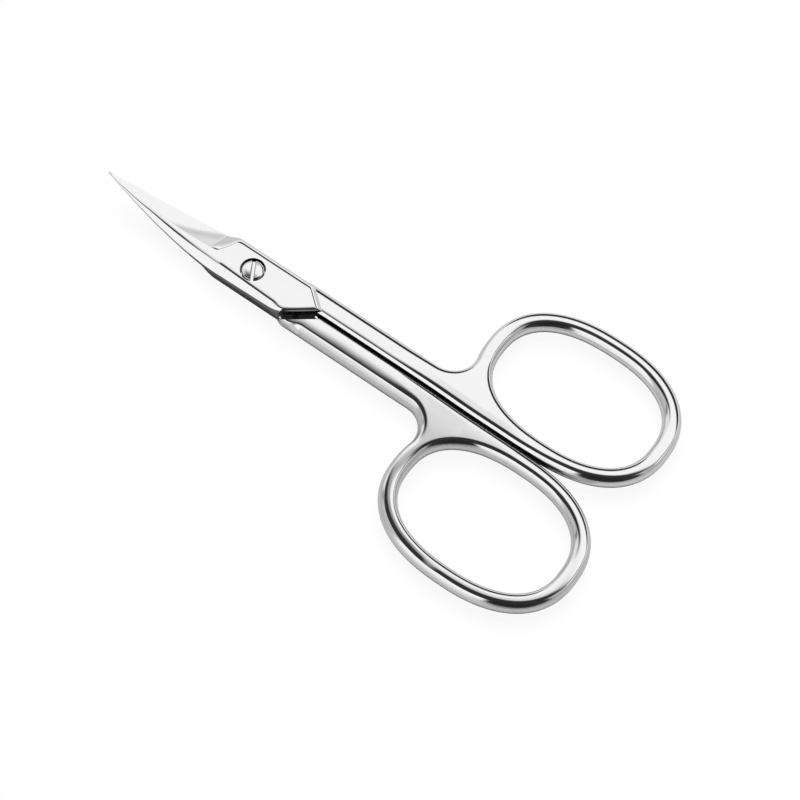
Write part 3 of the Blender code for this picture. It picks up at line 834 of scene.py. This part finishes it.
def feed(tree, socket, value):
    """Links a wrapped output to a socket, or sets the socket's own value."""
    if isinstance(value, Socket):
        tree.links.new(value.output, socket)
    else:
        socket.default_value = value


def add_node(tree, kind, settings=None, *placed, **named):
    """A node by type, its settings, then its sockets' values or links in order or by name (_ for a space)."""
    node = tree.nodes.new(kind)
    for key, value in (settings or {}).items():
        setattr(node, key, value)
    for socket, value in zip(node.inputs, placed):
        feed(tree, socket, value)
    for key, value in named.items():
        feed(tree, node.inputs[key.replace("_", " ")], value)
    return node


def window(value, low, soft_low, high, soft_high):
    """1 between two limits, falling to 0 over a soft edge outside each."""
    rise = ((value - low) * (1.0 / soft_low) + 1.0).clamp()
    fall = ((high - value) * (1.0 / soft_high) + 1.0).clamp()
    return rise * rise * (3.0 - 2.0 * rise) * (fall * fall * (3.0 - 2.0 * fall))


def vector_maths(tree, operation, *placed, output="Vector", **named):
    node = add_node(tree, "ShaderNodeVectorMath", {"operation": operation}, *placed, **named)
    return Socket(tree, node.outputs[output])


def noise(tree, place, per_metre, detail):
    """Noise about zero, with so many lumps to the metre along each axis."""
    scaled = vector_maths(tree, "MULTIPLY", place, per_metre)
    texture = add_node(tree, "ShaderNodeTexNoise", Vector=scaled, Scale=1.0, Detail=detail)
    return Socket(tree, texture.outputs[0]) - 0.5


def steel_material(name, colour, roughness, turned=False):
    """Polished steel with faint waves, clouds and hairlines, streaked satin sides, and painted shade that
    darkens and roughens walls in gaps, recesses and the slot.
    """
    material = bpy.data.materials.new(name)
    material.use_nodes = True
    tree = material.node_tree
    shader = tree.nodes["Principled BSDF"]
    shader.inputs["Metallic"].default_value = 1.0
    place = Socket(tree, add_node(tree, "ShaderNodeTexCoord").outputs["Object"])
    side, dull = (
        Socket(tree, add_node(tree, "ShaderNodeAttribute", {"attribute_name": key}).outputs["Fac"])
        for key in ("side", "dull")
    )
    waves = noise(tree, place, *WAVES)
    clouds = noise(tree, place, *CLOUDS)
    if turned:
        offset = vector_maths(tree, "SUBTRACT", place, PIVOT.tolist())
        flat = vector_maths(tree, "MULTIPLY", offset, (1, 1, 0))
        radius = vector_maths(tree, "LENGTH", flat, output="Value")
        along = add_node(tree, "ShaderNodeCombineXYZ", None, radius)
        hairlines = noise(tree, Socket(tree, along.outputs[0]), *TURNING_LINES)
    else:
        hairlines = noise(tree, place, *HAIRLINES)
    streaks = noise(tree, place, *STREAKS)
    # Painted shade darkens the colour of the marked walls; they are also rougher
    tone = 1.0 + clouds * CLOUD_TONE - side * (SIDE_DARKER - streaks * STREAK_TONE) - dull * PAINTED_SHADE_DARKER
    feed(tree, shader.inputs["Base Color"], vector_maths(tree, "SCALE", tuple(colour), Scale=tone))
    rough = roughness + clouds * CLOUD_ROUGHNESS + side * (SIDE_ROUGHNESS + streaks * STREAK_ROUGHNESS)
    feed(tree, shader.inputs["Roughness"], rough + dull * DULL_ROUGHNESS)
    relief = waves * WAVE_HEIGHT + hairlines * HAIRLINE_HEIGHT + side * streaks * STREAK_HEIGHT
    if not turned:
        relief = relief + leaning(tree, place)
    bump = add_node(tree, "ShaderNodeBump", None, Strength=1.0, Distance=1.0, Height=relief)
    tree.links.new(bump.outputs[0], shader.inputs["Normal"])
    return material


def leaning(tree, place):
    """Height that leans the faces of shanks and webs a little, as grinding by hand leaves them."""
    parts = add_node(tree, "ShaderNodeSeparateXYZ", None, place)
    x, y = (Socket(tree, parts.outputs[axis]) for axis in "XY")
    reach = y.maths("MINIMUM", LEAN_FROM) - LEAN_FROM
    return reach * (window(x, *SHANK_STRETCH) * SHANK_LEAN + window(x, *WEB_STRETCH) * WEB_LEAN)


# Add-on


class ScissorFinish(bpy.types.PropertyGroup):
    steel_colour: FloatVectorProperty(
        name="Steel", description="Colour of the polished steel", subtype="COLOR", size=3,
        default=(0.90, 0.90, 0.905),
    )
    steel_roughness: FloatProperty(
        name="Roughness", description="Roughness of the polish", min=0.0, max=1.0, default=0.06
    )


class SCISSORS_OT_halves(bpy.types.Operator):
    """Builds both halves and lets them ride on their bodies"""

    bl_idname = "scissors.halves"
    bl_label = "Scissor halves"

    def execute(self, context):
        finish = context.scene.scissor_finish
        top_holes = ((RECESS_RADIUS, HEAD_SEAT - SEAT_CLEARANCE), (BORE_RADIUS, -JOINT_THICKNESS))
        bottom_holes = ((THREAD_HOLE_RADIUS, -JOINT_THICKNESS),)
        bodies = frame["record"]["behaviour"]["bodies"]
        halves = (("top_half", 1.0, top_holes, False), ("bottom_half", -1.0, bottom_holes, True))
        material = steel_material("mirror_steel", finish.steel_colour, finish.steel_roughness)
        for node, rise_sign, holes, half_turn in halves:
            half = scissor_half(node + "_polished", rise_sign, holes)
            mark_surfaces(half, node)
            place(half, half_turn)
            finish_with(half, material)
            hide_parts(node)
            body = next(name for name, nodes in bodies.items() if node in nodes)
            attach(half, body)
        return {"FINISHED"}


class SCISSORS_OT_screw(bpy.types.Operator):
    """Builds the slotted pivot screw"""

    bl_idname = "scissors.screw"
    bl_label = "Pivot screw"

    def execute(self, context):
        finish = context.scene.scissor_finish
        screw = revolved("pivot_screw_turned", screw_profile())
        combine(screw, slot_cutter("slot"), "DIFFERENCE")
        mark_surfaces(screw, "pivot_screw")
        place(screw, False)
        material = steel_material("screw_steel", finish.steel_colour, finish.steel_roughness, turned=True)
        finish_with(screw, material)
        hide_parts("pivot_screw")
        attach(screw, "threaded_half")
        return {"FINISHED"}


# Studio: angles in degrees
CAMERA_PLACE = (0.08324, -0.12166, 0.29216)
CAMERA_TURN = (25.562, -1.825, 35.671)
CAMERA_LENS = 102.76
CAMERA_SENSOR = 36.0
CAMERA_NEAR = 0.01
FLOOR_REACH = 4.0
FLOOR_COLOUR = 0.60
FLOOR_WHITE = 0.86
FLOOR_ROUGHNESS = 0.9
SUN_STRENGTH = 2.9
SUN_SOFTNESS = 45.0
SUN_FROM = (122.0, 58.0)
FILL_STRENGTH = 0.25
SKY_LEVEL = 0.03
SKY_ZONES = (
    # azimuth, its half width and softness, lowest and highest elevation and their softness, level
    (0.0, 180.0, 1.0, -90.0, 17.0, 5.0, 0.50),
    (95.0, 50.0, 12.0, -90.0, 12.0, 8.0, 0.80),
    (90.0, 75.0, 10.0, 21.0, 37.0, 5.0, 1.00),
    (-140.0, 20.0, 10.0, 17.0, 50.0, 8.0, 0.55),
    (-104.0, 22.0, 8.0, -90.0, 58.0, 6.0, 1.00),
    (-52.0, 18.0, 10.0, 20.0, 95.0, 8.0, 0.02),
    (4.0, 6.0, 10.0, 0.0, 55.0, 8.0, 0.45),
    (168.0, 14.0, 12.0, 8.0, 60.0, 8.0, 0.82),
)
TOP_PANEL = (
    # angles towards X and Y from the vertical: lowest, its softness, highest, its softness
    (-36.0, 8.0, 18.0, 6.0),
    (22.0, 8.0, 30.0, 3.0),
)
TOP_LEVEL = 1.0


def sky_colour(tree):
    """Studio dome by direction: a dark room, pale walls low down, and a wide soft panel overhead."""
    coordinates = add_node(tree, "ShaderNodeTexCoord")
    parts = add_node(tree, "ShaderNodeSeparateXYZ", Vector=Socket(tree, coordinates.outputs["Generated"]))
    x, y, z = (Socket(tree, parts.outputs[axis]) for axis in "XYZ")
    degrees = math.degrees(1.0)
    azimuth = y.maths("ARCTAN2", x) * degrees
    elevation = z.maths("ARCSINE") * degrees
    level = SKY_LEVEL
    for middle, half, soft, low, high, soft_level, value in SKY_ZONES:
        # The offset is never below zero, so the window is open at that end
        offset = (azimuth - middle).maths("WRAP", 180.0, -180.0).maths("ABSOLUTE")
        mask = window(offset, -1.0, 1.0, half, soft) * window(elevation, low, soft_level, high, soft_level)
        level = level + (value - level) * mask
    (x_low, x_soft, x_high, x_soft_high), (y_low, y_soft, y_high, y_soft_high) = TOP_PANEL
    mask = window(x.maths("ARCTAN2", z) * degrees, x_low, x_soft, x_high, x_soft_high)
    mask = mask * window(y.maths("ARCTAN2", z) * degrees, y_low, y_soft, y_high, y_soft_high)
    return level + (TOP_LEVEL - level) * mask


class SCISSORS_OT_stage(bpy.types.Operator):
    """Builds the floor, lights and camera"""

    bl_idname = "scissors.stage"
    bl_label = "Studio"

    def execute(self, context):
        scene = context.scene
        corners = [(x * FLOOR_REACH, y * FLOOR_REACH, 0.0) for x, y in ((-1, -1), (1, -1), (1, 1), (-1, 1))]
        floor = mesh_object("floor", np.array(corners), [np.arange(4)[None, :]])
        material = bpy.data.materials.new("white_floor")
        material.use_nodes = True
        tree = material.node_tree
        shader = tree.nodes["Principled BSDF"]
        shader.inputs["Base Color"].default_value = (FLOOR_COLOUR, FLOOR_COLOUR, FLOOR_COLOUR, 1.0)
        shader.inputs["Roughness"].default_value = FLOOR_ROUGHNESS
        shader.inputs["Specular IOR Level"].default_value = 0.0
        # To the camera the floor is mostly a glow that makes it white, and only the rest of it takes shadow
        light_path = add_node(tree, "ShaderNodeLightPath")
        seen = Socket(tree, light_path.outputs["Is Camera Ray"])
        lit = FLOOR_COLOUR * (FILL_STRENGTH + SUN_STRENGTH * math.sin(math.radians(SUN_FROM[1])) / math.pi)
        glow = add_node(tree, "ShaderNodeEmission", Strength=(1.0 - (1.0 - FLOOR_WHITE) * lit) / FLOOR_WHITE)
        shaders = (Socket(tree, node.outputs[0]) for node in (shader, glow))
        both = add_node(tree, "ShaderNodeMixShader", None, seen * FLOOR_WHITE, *shaders)
        tree.links.new(both.outputs[0], tree.nodes["Material Output"].inputs["Surface"])
        floor.data.materials.append(material)

        world = bpy.data.worlds.new("studio")
        world.use_nodes = True
        tree = world.node_tree
        background = tree.nodes["Background"]
        light_path = add_node(tree, "ShaderNodeLightPath")
        camera_ray = Socket(tree, light_path.outputs["Is Camera Ray"])
        glossy_ray = Socket(tree, light_path.outputs["Is Glossy Ray"])
        # The camera sees plain white, reflections see the studio, and the rest is a weak fill
        sky = sky_colour(tree)
        strength = FILL_STRENGTH + (sky - FILL_STRENGTH) * glossy_ray
        strength = strength + (1.0 - strength) * camera_ray
        feed(tree, background.inputs["Strength"], strength)
        background.inputs["Color"].default_value = (1.0, 1.0, 1.0, 1.0)
        scene.world = world

        sun = bpy.data.objects.new("soft_sun", bpy.data.lights.new("soft_sun", "SUN"))
        sun.data.energy = SUN_STRENGTH
        sun.data.angle = math.radians(SUN_SOFTNESS)
        azimuth, elevation = (math.radians(angle) for angle in SUN_FROM)
        sun.rotation_euler = (0.0, math.pi / 2 - elevation, azimuth)
        sun.visible_glossy = False
        scene.collection.objects.link(sun)

        camera = bpy.data.objects.new("camera", bpy.data.cameras.new("camera"))
        camera.location = CAMERA_PLACE
        camera.rotation_euler = [math.radians(angle) for angle in CAMERA_TURN]
        camera.data.sensor_width = CAMERA_SENSOR
        camera.data.lens = CAMERA_LENS
        camera.data.clip_start = CAMERA_NEAR
        scene.collection.objects.link(camera)
        scene.camera = camera
        scene.view_settings.view_transform = "Standard"
        return {"FINISHED"}


class SCISSORS_PT_panel(bpy.types.Panel):
    bl_label = "Eyebrow scissors"
    bl_idname = "SCISSORS_PT_panel"
    bl_space_type = "VIEW_3D"
    bl_region_type = "UI"
    bl_category = "Scissors"

    def draw(self, context):
        for operator in OPERATORS:
            self.layout.operator(operator.bl_idname)
        finish = context.scene.scissor_finish
        self.layout.prop(finish, "steel_colour")
        self.layout.prop(finish, "steel_roughness")


OPERATORS = (SCISSORS_OT_halves, SCISSORS_OT_screw, SCISSORS_OT_stage)
CLASSES = (ScissorFinish, *OPERATORS, SCISSORS_PT_panel)


def register():
    for cls in CLASSES:
        bpy.utils.register_class(cls)
    bpy.types.Scene.scissor_finish = PointerProperty(type=ScissorFinish)


def unregister():
    del bpy.types.Scene.scissor_finish
    for cls in reversed(CLASSES):
        bpy.utils.unregister_class(cls)


def main():
    register()
    bpy.ops.scissors.halves()
    bpy.ops.scissors.screw()
    bpy.ops.scissors.stage()


if __name__ == "__main__":
    main()
